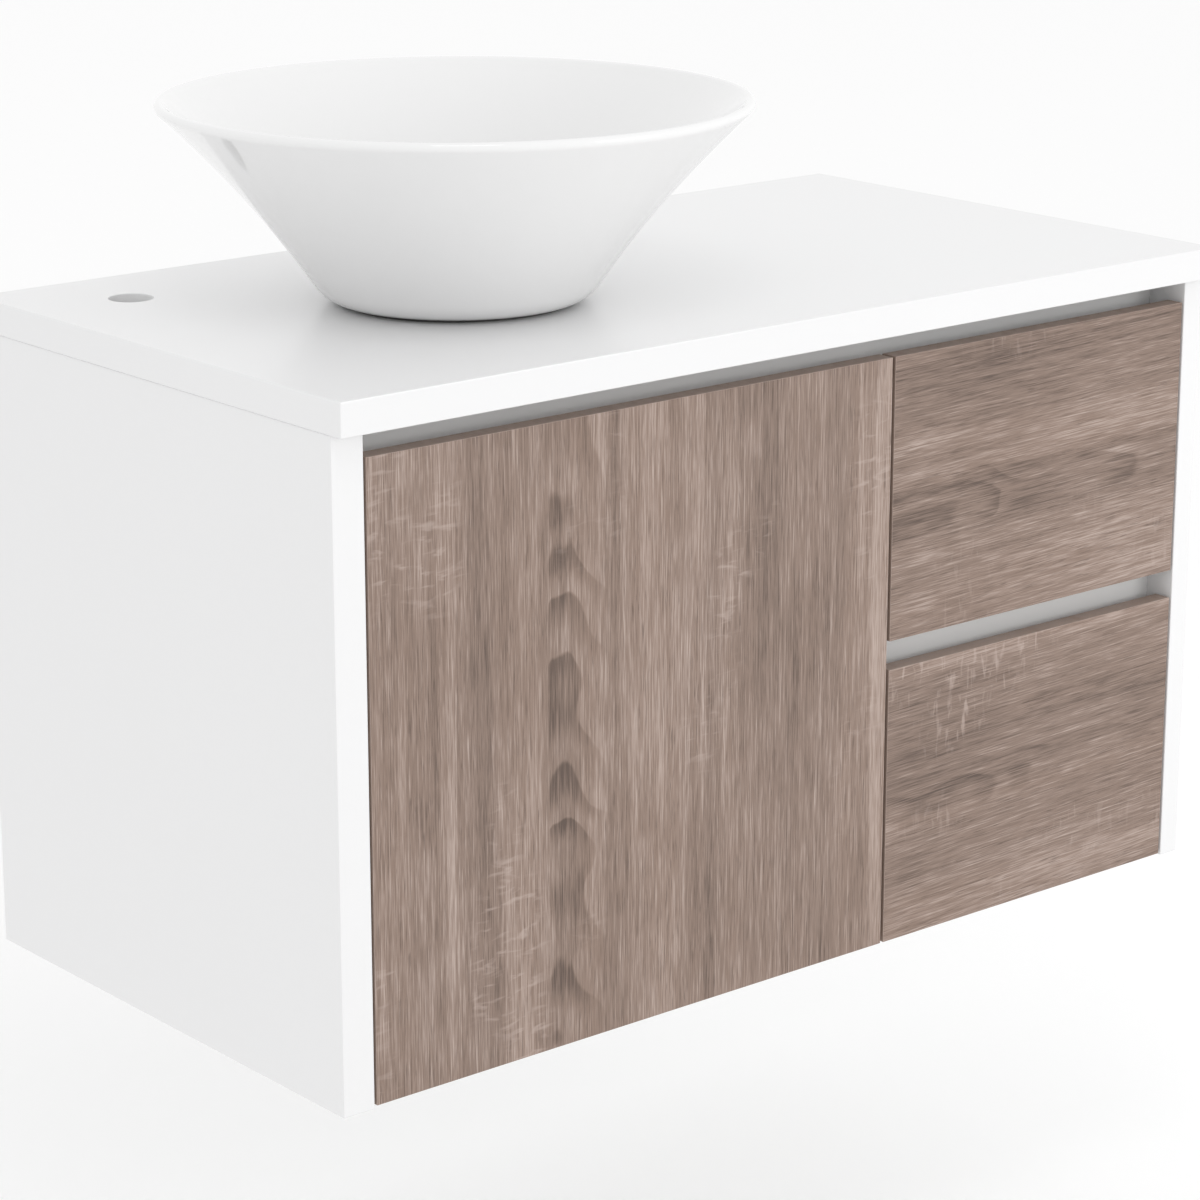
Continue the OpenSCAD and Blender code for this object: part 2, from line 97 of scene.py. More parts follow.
# Stage, in metres, degrees and watts. A lamp is its place, its target, its size and its power.
FLOOR_HALF = 14.0
FLOOR_DROP = -0.32
LAMPS = {
    "front_softbox": ((1.6, -3.3, 1.25), (0.0, 0.0, 0.35), (1.7, 1.3), 24.0),
    "top_softbox": ((-0.9, -1.2, 2.9), (0.0, 0.0, 0.6), (0.9, 0.7), 4.0),
}
CAMERA_AZIMUTH = 39.86
CAMERA_RISE = 15.99
CAMERA_FAR = 3.0768
CAMERA_TARGET = (-0.0165, 0.0, 0.2628)
CAMERA_LENS = 112.09


# ---------------------------------------------------------------- sizes and colours

class VanitySizes(bpy.types.PropertyGroup):
    """Small sizes that finish the boards and the basin."""

    board_edge: FloatProperty(
        name="Board edge", description="Rounding of the white boards' edges",
        default=0.0009, min=0.0002, max=0.003, unit="LENGTH", precision=5)
    front_edge: FloatProperty(
        name="Front edge", description="Rounding of the door's and drawer fronts' edges",
        default=0.0007, min=0.0002, max=0.003, unit="LENGTH", precision=5)
    wall: FloatProperty(
        name="Basin wall", description="Wall thickness of the basin, square to the wall",
        default=0.008, min=0.006, max=0.012, unit="LENGTH", precision=4)


class VanityColours(bpy.types.PropertyGroup):
    """Colours of the finishes."""

    lacquer: FloatVectorProperty(
        name="White lacquer", description="Countertop and side panels",
        subtype="COLOR", size=3, default=(0.800, 0.800, 0.803), min=0, max=1)
    melamine: FloatVectorProperty(
        name="White board", description="Boards inside the cabinet",
        subtype="COLOR", size=3, default=(0.77, 0.77, 0.765), min=0, max=1)
    oak_dark: FloatVectorProperty(
        name="Oak, dark", description="Late wood and pores of the decor",
        subtype="COLOR", size=3, default=(0.100, 0.069, 0.055), min=0, max=1)
    oak_mid: FloatVectorProperty(
        name="Oak, middle", description="Main tone of the decor",
        subtype="COLOR", size=3, default=(0.238, 0.170, 0.136), min=0, max=1)
    oak_light: FloatVectorProperty(
        name="Oak, light", description="Early wood and flecks of the decor",
        subtype="COLOR", size=3, default=(0.480, 0.385, 0.340), min=0, max=1)
    edge_band: FloatVectorProperty(
        name="Edge band", description="Plain band round the fronts",
        subtype="COLOR", size=3, default=(0.300, 0.222, 0.182), min=0, max=1)
    glaze: FloatVectorProperty(
        name="Glaze", description="Glaze of the basin",
        subtype="COLOR", size=3, default=(0.82, 0.82, 0.82), min=0, max=1)


def sizes():
    return bpy.context.scene.vanity_sizes


def colours():
    return bpy.context.scene.vanity_colours


# ---------------------------------------------------------------- surfaces

def make_mesh(name, points, faces, body, replaces=()):
    """Puts points (n, 3) and quads (m, 4) into a smooth mesh that rides on a body."""
    mesh = bpy.data.meshes.new(name)
    mesh.vertices.add(len(points))
    mesh.vertices.foreach_set("co", np.asarray(points, np.float32).ravel())
    mesh.loops.add(faces.size)
    mesh.loops.foreach_set("vertex_index", faces.ravel().astype(np.int32))
    mesh.polygons.add(len(faces))
    mesh.polygons.foreach_set("loop_start", np.arange(0, faces.size, 4, dtype=np.int32))
    mesh.polygons.foreach_set("use_smooth", np.ones(len(faces), bool))
    mesh.update(calc_edges=True)
    mesh.validate()
    obj = bpy.data.objects.new(name, mesh)
    bpy.context.scene.collection.objects.link(obj)
    if replaces:
        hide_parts(*replaces)
    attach(obj, body)
    return obj


def turned(profile, centre, around=192):
    """Points and quads of a closed profile turned about an upright axis.

    A point at turn a on profile point (r, z) is (cx + r cos a, cy + r sin a, z); the profile
    runs counter-clockwise in the (r, z) half plane, so the faces point outwards.
    """
    r, z = np.asarray(profile, float).T
    a = np.linspace(0, 2 * np.pi, around, endpoint=False)
    x = centre[0] + np.outer(np.cos(a), r)
    y = centre[1] + np.outer(np.sin(a), r)
    points = np.stack([x, y, np.broadcast_to(z, x.shape)], -1).reshape(-1, 3)
    i = np.arange(around)[:, None]
    j = np.arange(len(r))[None, :]
    n = len(r)
    i2, j2 = (i + 1) % around, (j + 1) % n
    quads = np.stack(np.broadcast_arrays(i * n + j, i2 * n + j, i2 * n + j2, i * n + j2), -1)
    return points, quads.reshape(-1, 4)


def arc(centre, radius, start, end, count):
    """Points on a circle of (r, z) round centre, from start to end in degrees."""
    a = np.radians(np.linspace(start, end, count))
    return np.stack([centre[0] + radius * np.cos(a), centre[1] + radius * np.sin(a)], -1)


def smooth(profile, passes):
    """Each pass moves every inner point halfway to the mean of its neighbours."""
    p = np.array(profile, float)
    for _ in range(passes):
        p[1:-1] = 0.5 * p[1:-1] + 0.25 * (p[:-2] + p[2:])
    return p


def even(profile, step):
    """The profile resampled at equal steps along its length."""
    p = np.asarray(profile, float)
    s = np.r_[0, np.cumsum(np.hypot(*np.diff(p, axis=0).T))]
    t = np.linspace(0, s[-1], int(s[-1] / step) + 1)
    return np.stack([np.interp(t, s, p[:, 0]), np.interp(t, s, p[:, 1])], -1)


def bend(a, b, c, count):
    """Curve that leaves a towards b and reaches c from b: the square-law blend of the three."""
    t = np.linspace(0, 1, count)[:, None]
    return (1 - t) ** 2 * np.array(a) + 2 * t * (1 - t) * np.array(b) + t ** 2 * np.array(c)


def basin_profile():
    """Half section of the basin as (r, z).

    The outside bends out of the foot, then flares as foot + span (0.75 k + 0.25 k k) for k
    from 0 at the foot to 1 at the rim. The rim is a half circle as thick as the wall. The
    inside runs beside the outside and bends into the floor, which falls a little to the waste.
    """
    low, high = BASIN
    rim = (high[0] - low[0]) / 2
    foot = (FOOT[1][0] - FOOT[0][0]) / 2 + 0.002
    wall, height = sizes().wall, high[2] - low[2]
    lean = math.radians(RIM_LEAN)
    edge = wall / 2
    top_z = height - edge * (1 + math.sin(lean))
    top_r = rim - edge * (1 - math.cos(lean))

    def flare(z):
        k = z / top_z
        return foot + FOOT_FLARE + (top_r - foot - FOOT_FLARE) * (0.75 * k + 0.25 * k * k)

    def bowl(z):
        return flare(z) - wall / math.cos(lean)

    foot_bend = bend((foot - 0.002, 0.0), (flare(0.0), 0.0), (flare(FOOT_BEND), FOOT_BEND), 16)
    z_out = np.linspace(FOOT_BEND, top_z, 70)[1:-1]
    roll = arc((rim - edge, height - edge), edge, -RIM_LEAN, 180 - RIM_LEAN, 26)
    z_in = np.linspace(height - edge, FLOOR_BEND, 70)[1:-1]
    floor_r = bowl(FLOOR_TOP)
    floor_bend = bend((bowl(FLOOR_BEND), FLOOR_BEND), (floor_r, FLOOR_TOP + 0.0006),
                      (floor_r - FLOOR_RUN, FLOOR_TOP + 0.0004), 24)
    line = np.concatenate([
        foot_bend, np.stack([flare(z_out), z_out], -1), roll, np.stack([bowl(z_in), z_in], -1),
        floor_bend, [[0.045, FLOOR_TOP + 0.0002], [0.034, FLOOR_TOP]]])
    line = smooth(even(line, PROFILE_STEP), 6)
    line = np.concatenate([[[WASTE_HOLE, 0.0], [foot - 0.004, 0.0]], line,
                           [[WASTE_HOLE, FLOOR_TOP]]])
    line[:, 1] += low[2]
    return line


# ---------------------------------------------------------------- shader groups

class Wires:
    """Short helper for adding nodes and links to a tree."""

    def __init__(self, tree):
        self.tree = tree

    def add(self, kind, **settings):
        node = self.tree.nodes.new(kind)
        for name, value in settings.items():
            setattr(node, name, value)
        return node

    def link(self, a, b):
        self.tree.links.new(a, b)

    def put(self, socket, value):
        if isinstance(value, bpy.types.NodeSocket):
            self.link(value, socket)
        else:
            socket.default_value = value

    def math(self, operation, a, b=0.0, c=None, clamp=False):
        node = self.add("ShaderNodeMath", operation=operation, use_clamp=clamp)
        self.put(node.inputs[0], a)
        self.put(node.inputs[1], b)
        if c is not None:
            self.put(node.inputs[2], c)
        return node.outputs[0]

    def mix(self, factor, a, b, blend="MIX"):
        node = self.add("ShaderNodeMix", data_type="RGBA", blend_type=blend)
        self.put(node.inputs[0], factor)
        self.put(node.inputs[6], a)
        self.put(node.inputs[7], b)
        return node.outputs[2]

    def noise(self, vector, scale, detail=3.0, rough=0.5, distortion=0.0):
        node = self.add("ShaderNodeTexNoise")
        self.link(vector, node.inputs["Vector"])
        node.inputs["Scale"].default_value = scale
        node.inputs["Detail"].default_value = detail
        node.inputs["Roughness"].default_value = rough
        node.inputs["Distortion"].default_value = distortion
        return node.outputs["Fac"]

    def spread(self, value, low, high, to_low=0.0, to_high=1.0):
        node = self.add("ShaderNodeMapRange", interpolation_type="SMOOTHSTEP")
        self.put(node.inputs[0], value)
        for i, v in enumerate((low, high, to_low, to_high), 1):
            self.put(node.inputs[i], v)
        return node.outputs[0]

    def xyz(self, x=0.0, y=0.0, z=0.0):
        node = self.add("ShaderNodeCombineXYZ")
        for socket, value in zip(node.inputs, (x, y, z)):
            self.put(socket, value)
        return node.outputs[0]

    def parts(self, vector):
        node = self.add("ShaderNodeSeparateXYZ")
        self.link(vector, node.inputs[0])
        return node.outputs

    def stretch(self, vector, scale):
        node = self.add("ShaderNodeMapping")
        self.link(vector, node.inputs["Vector"])
        node.inputs["Scale"].default_value = scale
        return node.outputs[0]


def new_group(name, inputs, outputs):
    """An empty shader group with the named sockets, and its wiring helper."""
    tree = bpy.data.node_groups.new(name, "ShaderNodeTree")
    for kind, socket, default in inputs:
        item = tree.interface.new_socket(socket, in_out="INPUT", socket_type=kind)
        if default is not None:
            item.default_value = default
    for kind, socket in outputs:
        tree.interface.new_socket(socket, in_out="OUTPUT", socket_type=kind)
    wires = Wires(tree)
    return tree, wires, wires.add("NodeGroupInput").outputs, wires.add("NodeGroupOutput").inputs


def oak_decor_group():
    """Printed oak decor. Its vector is (across, depth, along) the grain in metres.

    The figure is s = along / Rise + Arch off + 28 off off, warped a little, off being the
    distance from the flame's crest, which lies just right of Centre. One dark patch starts
    sharply at every whole step of s and fades down the grain. Left of Centre there is no flame.
    """
    tree, w, i, o = new_group(
        "Oak decor",
        (("NodeSocketVector", "Vector", None), ("NodeSocketFloat", "Centre", 0.0),
         ("NodeSocketFloat", "Arch", 30.0), ("NodeSocketFloat", "Rise", 0.075),
         ("NodeSocketFloat", "Flame", 1.0), ("NodeSocketFloat", "Flecks", 1.0),
         ("NodeSocketColor", "Dark", None), ("NodeSocketColor", "Middle", None),
         ("NodeSocketColor", "Light", None)),
        (("NodeSocketColor", "Color"), ("NodeSocketFloat", "Roughness"),
         ("NodeSocketFloat", "Height")))
    vector = i["Vector"]
    across, _, along = w.parts(vector)
    warp = w.noise(w.stretch(vector, (40, 1, 9)), 1.0, 2.0, 0.5)
    drift = w.noise(w.stretch(vector, (0.5, 1, 9)), 1.0, 1.0, 0.5)
    right = w.math("SUBTRACT", across, i["Centre"])
    from_middle = w.math("ABSOLUTE", w.math("SUBTRACT", right, CREST_MIDDLE))
    off = w.math("MAXIMUM", w.math("SUBTRACT", from_middle, CREST_HALF), 0.0)
    slope = w.math("MULTIPLY", off, w.math("MULTIPLY_ADD", off, FLAME_CURL, i["Arch"]))
    figure = w.math("ADD", w.math("DIVIDE", along, i["Rise"]), slope)
    figure = w.math("MULTIPLY_ADD", w.math("SUBTRACT", drift, 0.5), 4.0, figure)
    figure = w.math("MULTIPLY_ADD", w.math("SUBTRACT", warp, 0.5), 0.55, figure)
    step = w.math("SUBTRACT", 1.0, w.math("FRACT", figure))
    patch = w.math("MULTIPLY", w.spread(step, 0.0, 0.10), w.spread(step, 0.75, 0.12))
    reach = w.math("MULTIPLY", w.spread(right, -0.001, 0.001), w.spread(right, *FLAME_FADE))
    flame = w.math("MULTIPLY", w.math("MULTIPLY", patch, reach), i["Flame"])

    rings = w.noise(w.xyz(w.math("MULTIPLY", across, 70.0), 0.0,
                          w.math("MULTIPLY", figure, 0.35)), 1.0, 3.0, 0.6)
    pores = w.noise(w.stretch(vector, (800, 1, 34)), 1.0, 2.0, 0.7)

    tone = w.math("MULTIPLY_ADD", flame, FLAME_DARK, OAK_TONE)
    tone = w.math("MULTIPLY_ADD", w.math("SUBTRACT", rings, 0.5), 0.50, tone)
    layers = {}
    for name, (side, length, detail, rough, share) in GRAIN.items():
        layers[name] = w.noise(w.stretch(vector, (side, 1, length)), 1.0, detail, rough)
        tone = w.math("MULTIPLY_ADD", w.math("SUBTRACT", layers[name], 0.5), share, tone)

    low = w.mix(w.spread(tone, 0.02, 0.52), i["Dark"], i["Middle"])
    colour = w.mix(w.spread(tone, 0.46, 1.0), low, i["Light"])
    hue = w.math("MULTIPLY", w.spread(layers["wide"], 0.35, 0.65), 0.22)
    colour = w.mix(hue, colour, WARM_OAK)

    pore_mask = w.spread(pores, 0.54, 0.66)
    pore_where = w.spread(rings, 0.62, 0.38, 0.30, 1.0)
    pore_mask = w.math("MULTIPLY", pore_mask, pore_where)
    colour = w.mix(w.math("MULTIPLY", pore_mask, 0.58), colour, i["Dark"])

    fleck = w.noise(w.stretch(vector, (42, 1, 150)), 1.0, 2.0, 0.55, 0.5)
    area = w.noise(w.stretch(vector, (9.0, 1, 6.0)), 1.0, 1.0, 0.5)
    fleck_mask = w.math("MULTIPLY", w.spread(fleck, 0.52, 0.72), w.spread(area, 0.54, 0.68))
    fleck_mask = w.math("MULTIPLY", fleck_mask, i["Flecks"], clamp=True)
    colour = w.mix(w.math("MULTIPLY", fleck_mask, 0.55), colour, i["Light"])

    w.link(colour, o["Color"])
    w.link(w.math("MULTIPLY_ADD", pore_mask, 0.18, w.spread(tone, 0.1, 0.9, 0.50, 0.42)),
           o["Roughness"])
    grain = w.math("MULTIPLY_ADD", layers["fibre"], 0.35, w.math("MULTIPLY", rings, 0.15))
    w.link(w.math("SUBTRACT", grain, w.math("MULTIPLY", pore_mask, 0.6)), o["Height"])
    return tree


def sheen_break_group():
    """Slight unevenness of a sprayed, moulded, pressed or glazed surface."""
    tree, w, i, o = new_group(
        "Surface unevenness",
        (("NodeSocketVector", "Vector", None), ("NodeSocketColor", "Tone", None),
         ("NodeSocketFloat", "Fine", 900.0), ("NodeSocketFloat", "Broad", 6.0),
         ("NodeSocketFloat", "Tint", 0.03), ("NodeSocketFloat", "Rough low", 0.3),
         ("NodeSocketFloat", "Rough high", 0.4)),
        (("NodeSocketColor", "Color"), ("NodeSocketFloat", "Roughness"),
         ("NodeSocketFloat", "Height")))
    fine = w.add("ShaderNodeTexNoise")
    broad = w.add("ShaderNodeTexNoise")
    for node, scale, detail in ((fine, i["Fine"], 2.0), (broad, i["Broad"], 3.0)):
        w.link(i["Vector"], node.inputs["Vector"])
        w.link(scale, node.inputs["Scale"])
        node.inputs["Detail"].default_value = detail
    shade = w.math("MULTIPLY", w.math("SUBTRACT", 1.0, broad.outputs["Fac"]), i["Tint"])
    colour = w.mix(shade, i["Tone"], (0.35, 0.33, 0.30, 1.0))
    w.link(colour, o["Color"])
    both = w.math("MULTIPLY_ADD", fine.outputs["Fac"], 0.4,
                  w.math("MULTIPLY", broad.outputs["Fac"], 0.6))
    w.link(w.spread(both, 0.3, 0.7, i["Rough low"], i["Rough high"]), o["Roughness"])
    w.link(fine.outputs["Fac"], o["Height"])
    return tree


def drawn_metal_group():
    """Fine lines left by rolling or turning, along one direction, with a few dull spots."""
    tree, w, i, o = new_group(
        "Drawn metal",
        (("NodeSocketVector", "Vector", None), ("NodeSocketVector", "Lines", None),
         ("NodeSocketColor", "Tone", None), ("NodeSocketFloat", "Rough low", 0.2),
         ("NodeSocketFloat", "Rough high", 0.4)),
        (("NodeSocketColor", "Color"), ("NodeSocketFloat", "Roughness"),
         ("NodeSocketFloat", "Height")))
    scaled = w.add("ShaderNodeVectorMath", operation="MULTIPLY")
    w.link(i["Vector"], scaled.inputs[0])
    w.link(i["Lines"], scaled.inputs[1])
    lines = w.noise(scaled.outputs[0], 1.0, 3.0, 0.7)
    spots = w.noise(i["Vector"], 90.0, 3.0, 0.6)
    dull = w.spread(spots, 0.45, 0.75)
    w.link(w.mix(w.math("MULTIPLY", dull, 0.22), i["Tone"], (0.22, 0.21, 0.20, 1.0)), o["Color"])
    both = w.math("MULTIPLY_ADD", lines, 0.6, w.math("MULTIPLY", spots, 0.4))
    w.link(w.spread(both, 0.3, 0.7, i["Rough low"], i["Rough high"]), o["Roughness"])
    w.link(lines, o["Height"])
    return tree


def group(name, build):
    """The group of that name, built the first time it is asked for."""
    return bpy.data.node_groups.get(name) or build()


# ---------------------------------------------------------------- materials

def start_material(name):
    """A material with only a Principled BSDF, and its wiring helper and object coordinates."""
    material = bpy.data.materials.new(name)
    material.use_nodes = True
    tree = material.node_tree
    tree.nodes.clear()
    w = Wires(tree)
    shader = w.add("ShaderNodeBsdfPrincipled")
    w.link(shader.outputs[0], w.add("ShaderNodeOutputMaterial").inputs[0])
    return material, w, shader, w.add("ShaderNodeTexCoord").outputs["Object"]


def add_bump(w, shader, height, distance):
    bump = w.add("ShaderNodeBump")
    bump.inputs["Strength"].default_value = 1.0
    bump.inputs["Distance"].default_value = distance
    w.link(height, bump.inputs["Height"])
    w.link(bump.outputs[0], shader.inputs["Normal"])


def uneven_material(name, tone, rough, fine=900.0, broad=6.0, tint=0.03, bump=0.00001,
                    coat=0.0, metal=0.0, specular=0.5):
    """A near-plain finish: lacquer, board, glaze or rubber, told apart by its numbers."""
    material, w, shader, place = start_material(name)
    node = w.add("ShaderNodeGroup", node_tree=group("Surface unevenness", sheen_break_group))
    w.link(place, node.inputs["Vector"])
    node.inputs["Tone"].default_value = (*tone, 1.0)
    node.inputs["Fine"].default_value = fine
    node.inputs["Broad"].default_value = broad
    node.inputs["Tint"].default_value = tint
    node.inputs["Rough low"].default_value = rough[0]
    node.inputs["Rough high"].default_value = rough[1]
    w.link(node.outputs["Color"], shader.inputs["Base Color"])
    w.link(node.outputs["Roughness"], shader.inputs["Roughness"])
    shader.inputs["Metallic"].default_value = metal
    shader.inputs["Coat Weight"].default_value = coat
    shader.inputs["Coat Roughness"].default_value = 0.04
    shader.inputs["Specular IOR Level"].default_value = specular
    add_bump(w, shader, node.outputs["Height"], bump)
    return material


def metal_material(name, tone, rough, lines, bump=0.00001):
    """Drawn, turned or plated metal."""
    material, w, shader, place = start_material(name)
    node = w.add("ShaderNodeGroup", node_tree=group("Drawn metal", drawn_metal_group))
    w.link(place, node.inputs["Vector"])
    node.inputs["Lines"].default_value = lines
    node.inputs["Tone"].default_value = (*tone, 1.0)
    node.inputs["Rough low"].default_value = rough[0]
    node.inputs["Rough high"].default_value = rough[1]
    w.link(node.outputs["Color"], shader.inputs["Base Color"])
    w.link(node.outputs["Roughness"], shader.inputs["Roughness"])
    shader.inputs["Metallic"].default_value = 1.0
    add_bump(w, shader, node.outputs["Height"], bump)
    return material


def oak_material(name, node_name, level, centre, arch, rise, offset, flame=1.0, flecks=1.0):
    """Oak decor on both faces of a front, and the plain band on its edges.

    level is True where the grain runs across. The faces are told from the edges by the
    depth: the band covers what lies between the two faces. The rounded front arris, just
    behind the face, is lightened towards light oak as a painted highlight.
    """
    material, w, shader, place = start_material(name)
    low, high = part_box(node_name)
    moved = w.add("ShaderNodeVectorMath", operation="ADD")
    w.link(place, moved.inputs[0])
    moved.inputs[1].default_value = offset
    x, _, z = w.parts(moved.outputs[0])
    tilt = w.math("MULTIPLY_ADD", x, -0.03, z) if level else x
    grain = w.xyz(tilt, 0.0, x) if level else w.xyz(x, 0.0, z)
    node = w.add("ShaderNodeGroup", node_tree=group("Oak decor", oak_decor_group))
    w.link(grain, node.inputs["Vector"])
    node.inputs["Centre"].default_value = centre
    node.inputs["Arch"].default_value = arch
    node.inputs["Rise"].default_value = rise
    node.inputs["Flame"].default_value = flame
    node.inputs["Flecks"].default_value = flecks
    palette = colours()
    for socket, tone in (("Dark", palette.oak_dark), ("Middle", palette.oak_mid),
                         ("Light", palette.oak_light)):
        node.inputs[socket].default_value = (*tone, 1.0)
    depth = w.parts(place)[1]
    past_face = w.math("GREATER_THAN", depth, low[1] + 0.00045)
    before_back = w.math("LESS_THAN", depth, high[1] - 0.00045)
    band = w.math("MULTIPLY", past_face, before_back)
    speck = w.noise(place, 700.0, 2.0, 0.6)
    band_tone = w.mix(w.spread(speck, 0.3, 0.7, 0.0, 0.12), (*palette.edge_band, 1.0),
                      (*palette.oak_light, 1.0))
    # Painted highlight: a thin strip on the rounded front arris, just behind the face, is mixed 55
    # % towards light oak.
    painted_arris_highlight = w.math("MULTIPLY", w.math("GREATER_THAN", depth, low[1] + 0.00008),
                   w.math("SUBTRACT", 1.0, past_face))
    face = w.mix(w.math("MULTIPLY", painted_arris_highlight, 0.55), node.outputs["Color"], (*palette.oak_light, 1.0))
    w.link(w.mix(band, face, band_tone), shader.inputs["Base Color"])
    w.link(node.outputs["Roughness"], shader.inputs["Roughness"])
    shader.inputs["Specular IOR Level"].default_value = 0.35
    height = w.math("MULTIPLY", node.outputs["Height"], w.math("SUBTRACT", 1.0, band))
    add_bump(w, shader, height, 0.00012)
    return material


def dress(node, material):
    """Gives a CAD node one material in place of its plain one."""
    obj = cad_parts[node]
    slots = obj.data.materials
    if not slots:
        slots.append(material)
    for i in range(len(slots)):
        slots[i] = material
    return obj


def ease_edges(obj, width, segments=3):
    """Joins the CAD triangles, clears flat faces of inner edges and rounds the sharp edges.

    A narrow triangle between two screw holes would turn over when the holes' edges are
    rounded, so the flat faces are made whole first.
    """
    weld = obj.modifiers.new("Weld", "WELD")
    weld.merge_threshold = 0.00001
    flat = obj.modifiers.new("Whole faces", "DECIMATE")
    flat.decimate_type = "DISSOLVE"
    flat.angle_limit = math.radians(0.3)
    bevel = obj.modifiers.new("Bevel", "BEVEL")
    bevel.width = width
    bevel.segments = segments
    bevel.limit_method = "ANGLE"
    bevel.angle_limit = math.radians(40)
    bevel.use_clamp_overlap = False
    return obj


# ---------------------------------------------------------------- pieces

class VANITY_OT_boards(bpy.types.Operator):
    """Lacquer the countertop and side panels, and finish the boards inside"""

    bl_idname = "vanity.boards"
    bl_label = "White boards"

    def execute(self, context):
        lacquer = uneven_material("white_lacquer_finish", colours().lacquer, (0.29, 0.31),
                                  fine=300.0, broad=4.0, tint=0.02, bump=0.0000003, coat=0.15)
        melamine = uneven_material("white_board_finish", colours().melamine, (0.42, 0.56),
                                   fine=1500.0, broad=9.0, tint=0.04, bump=0.00002)
        ease_edges(dress("countertop", lacquer), sizes().board_edge)
        for node in BOARDS:
            ease_edges(dress(node, lacquer), sizes().board_edge)
        for node in CARCASS:
            ease_edges(dress(node, melamine), 0.0004, 2)
        drawer = uneven_material("drawer_board_finish", colours().melamine, (0.45, 0.60),
                                 fine=1300.0, broad=12.0, tint=0.05, bump=0.00002)
        for d in DRAWERS:
            for part in ("left_side", "right_side", "back", "bottom"):
                ease_edges(dress(f"{d}_drawer_{part}", drawer), 0.0004, 2)
        return {"FINISHED"}


class VANITY_OT_fronts(bpy.types.Operator):
    """Cover the door and the drawer fronts in oak decor"""

    bl_idname = "vanity.fronts"
    bl_label = "Door and drawer fronts"

    def execute(self, context):
        width = DOOR[1][0] - DOOR[0][0]
        door = oak_material("door_oak", "door_panel", False, DOOR[0][0] + 0.32 * width,
                            30.0, 0.075, (0.0, 0.0, 0.0))
        upper = oak_material("upper_drawer_oak", "upper_drawer_front", True, 0.315,
                             60.0, 0.24, (0.7, 0.0, 0.0), 0.55, 0.5)
        lower = oak_material("lower_drawer_oak", "lower_drawer_front", True, 0.035,
                             60.0, 0.24, (1.9, 0.0, 0.0), 0.55, 1.0)
        for node, material in zip(FRONTS, (door, upper, lower)):
            ease_edges(dress(node, material), sizes().front_edge)
        return {"FINISHED"}


class VANITY_OT_basin(bpy.types.Operator):
    """Turn the basin with its rolled rim and glaze it"""

    bl_idname = "vanity.basin"
    bl_label = "Basin"

    def execute(self, context):
        centre = ((BASIN[0][0] + BASIN[1][0]) / 2, (BASIN[0][1] + BASIN[1][1]) / 2)
        points, quads = turned(basin_profile(), centre)
        obj = make_mesh("basin_glazed", points, quads, "cabinet", ("basin",))
        glaze = uneven_material("white_glaze_finish", colours().glaze, (0.06, 0.11),
                                fine=45.0, broad=7.0, tint=0.015, bump=0.00006, coat=0.6)
        obj.data.materials.append(glaze)
        return {"FINISHED"}


class VANITY_OT_seals(bpy.types.Operator):
    """Finish the rubber seals and the soft bumpers"""

    bl_idname = "vanity.seals"
    bl_label = "Seals and bumpers"

    def execute(self, context):
        rubber = uneven_material("black_rubber_finish", (0.035, 0.035, 0.035), (0.55, 0.75),
                                 fine=1800.0, broad=60.0, tint=0.2, bump=0.00003)
        for node in ("basin_gasket", "waste_washer"):
            dress(node, rubber)
        soft = uneven_material("soft_bumper_finish", (0.70, 0.70, 0.68), (0.30, 0.42),
                               fine=1400.0, broad=80.0, tint=0.05, bump=0.00001)
        dress("front_bumpers", soft)
        return {"FINISHED"}


class VANITY_OT_waste(bpy.types.Operator):
    """Plate the waste body, plug and tail pipe, and finish the brass locknut"""

    bl_idname = "vanity.waste"
    bl_label = "Waste"

    def execute(self, context):
        chrome = metal_material("polished_chrome", (0.74, 0.75, 0.77), (0.05, 0.11),
                                (60.0, 60.0, 700.0), 0.000003)
        for node in ("waste_body", "waste_tail_pipe", "waste_plug"):
            dress(node, chrome)
        brass = metal_material("turned_brass", (0.72, 0.52, 0.25), (0.24, 0.40),
                               (80.0, 80.0, 2200.0))
        ease_edges(dress("waste_locknut", brass), 0.0006, 2)
        return {"FINISHED"}


class VANITY_OT_metalwork(bpy.types.Operator):
    """Finish the hinges, slides, screws and cam fittings"""

    bl_idname = "vanity.metalwork"
    bl_label = "Hinges, slides and fixings"

    def execute(self, context):
        nickel = metal_material("nickel_plate", (0.62, 0.60, 0.57), (0.16, 0.30),
                                (900.0, 60.0, 900.0))
        for node in ("hinge_plates", "hinge_arms", "hinge_cups"):
            ease_edges(dress(node, nickel), 0.0003, 2)
        sheet = metal_material("zinc_plated_sheet", (0.60, 0.61, 0.63), (0.24, 0.42),
                               (1100.0, 12.0, 1100.0))
        for d in DRAWERS:
            for side in ("left", "right"):
                for part in SLIDE_PARTS:
                    dress(f"{d}_{side}_{part}_slide", sheet)
        zinc = metal_material("zinc_plate", (0.58, 0.58, 0.60), (0.22, 0.38),
                              (500.0, 500.0, 500.0))
        for node in ("countertop_screws", "cam_bolts", "hinge_plate_screws",
                     "outer_slide_screws", "hinge_cup_screws", "upper_front_screws",
                     "lower_front_screws"):
            dress(node, zinc)
        cast = metal_material("cast_zinc_finish", (0.42, 0.42, 0.43), (0.45, 0.62),
                              (300.0, 300.0, 300.0), 0.00003)
        dress("cam_locks", cast)
        return {"FINISHED"}


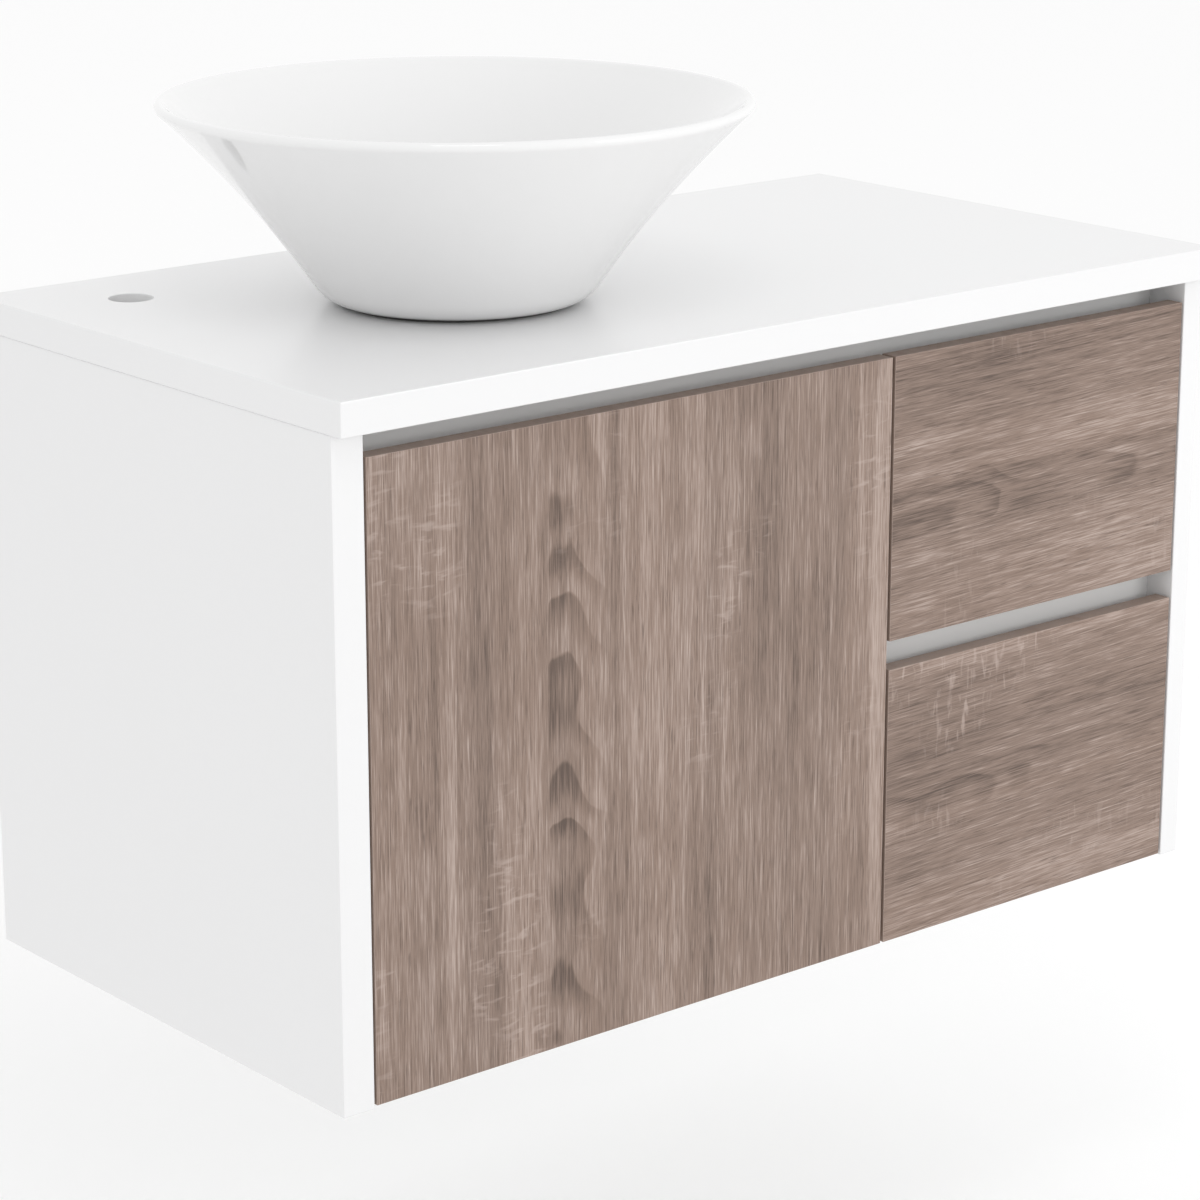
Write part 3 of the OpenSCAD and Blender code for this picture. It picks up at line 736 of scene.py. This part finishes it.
class VANITY_OT_stage(bpy.types.Operator):
    """Set the pale floor, the soft light and the camera"""

    bl_idname = "vanity.stage"
    bl_label = "Stage"

    def execute(self, context):
        scene = context.scene
        scene.view_settings.view_transform = "Standard"
        world = bpy.data.worlds.new("Soft studio")
        scene.world = world
        world.use_nodes = True
        world.node_tree.nodes["Background"].inputs["Color"].default_value = (1, 1, 1, 1)
        world.node_tree.nodes["Background"].inputs["Strength"].default_value = 1.0

        mesh = bpy.data.meshes.new("floor")
        corners = ((-1, -1), (1, -1), (1, 1), (-1, 1))
        mesh.from_pydata([(x * FLOOR_HALF, y * FLOOR_HALF, FLOOR_DROP) for x, y in corners],
                         [], [(0, 1, 2, 3)])
        floor = bpy.data.objects.new("floor", mesh)
        scene.collection.objects.link(floor)
        mesh.materials.append(uneven_material(
            "pale_floor", (0.97, 0.97, 0.97), (0.85, 0.9), fine=30.0, broad=0.4, tint=0.005,
            bump=0.00001, specular=0.1))

        for name, (place, target, size, power) in LAMPS.items():
            self.lamp(name, place, target, size, power)
        self.camera(scene)
        return {"FINISHED"}

    def lamp(self, name, place, target, size, power):
        light = bpy.data.lights.new(name, "AREA")
        light.shape = "RECTANGLE"
        light.size, light.size_y = size
        light.energy = power
        obj = bpy.data.objects.new(name, light)
        bpy.context.scene.collection.objects.link(obj)
        self.aim(obj, place, target)

    def camera(self, scene):
        """Stands to the left of the front and a little above, looking at the middle."""
        turn, rise = math.radians(CAMERA_AZIMUTH), math.radians(CAMERA_RISE)
        away = (-math.sin(turn) * math.cos(rise), -math.cos(turn) * math.cos(rise),
                math.sin(rise))
        place = Vector(CAMERA_TARGET) + CAMERA_FAR * Vector(away)
        data = bpy.data.cameras.new("front_left_view")
        data.sensor_width = 36.0
        data.lens = CAMERA_LENS
        data.clip_start, data.clip_end = 0.05, 60.0
        obj = bpy.data.objects.new("front_left_view", data)
        scene.collection.objects.link(obj)
        self.aim(obj, place, CAMERA_TARGET)
        scene.camera = obj

    def aim(self, obj, place, target):
        """Turns obj at place so that its -Z looks at target."""
        obj.location = place
        away = Vector(target) - Vector(place)
        obj.rotation_euler = away.to_track_quat("-Z", "Y").to_euler()


class VANITY_PT_panel(bpy.types.Panel):
    """Lists the vanity's pieces, sizes and colours"""

    bl_idname = "VANITY_PT_panel"
    bl_label = "Vanity"
    bl_space_type = "VIEW_3D"
    bl_region_type = "UI"
    bl_category = "Vanity"

    def draw(self, context):
        for group_name in ("vanity_sizes", "vanity_colours"):
            values = getattr(context.scene, group_name)
            box = self.layout.box()
            for prop in values.bl_rna.properties:
                if prop.identifier not in {"rna_type", "name"}:
                    box.prop(values, prop.identifier)
        for operator in OPERATORS:
            self.layout.operator(operator.bl_idname)


OPERATORS = (
    VANITY_OT_boards, VANITY_OT_fronts, VANITY_OT_basin, VANITY_OT_seals, VANITY_OT_waste,
    VANITY_OT_metalwork, VANITY_OT_stage,
)
CLASSES = (VanitySizes, VanityColours, *OPERATORS, VANITY_PT_panel)


def register():
    for cls in CLASSES:
        bpy.utils.register_class(cls)
    bpy.types.Scene.vanity_sizes = PointerProperty(type=VanitySizes)
    bpy.types.Scene.vanity_colours = PointerProperty(type=VanityColours)


def unregister():
    del bpy.types.Scene.vanity_colours
    del bpy.types.Scene.vanity_sizes
    for cls in reversed(CLASSES):
        bpy.utils.unregister_class(cls)


def main():
    register()
    bpy.ops.vanity.boards()
    bpy.ops.vanity.fronts()
    bpy.ops.vanity.basin()
    bpy.ops.vanity.seals()
    bpy.ops.vanity.waste()
    bpy.ops.vanity.metalwork()
    bpy.ops.vanity.stage()
    bpy.context.view_layer.update()


if __name__ == "__main__":
    main()
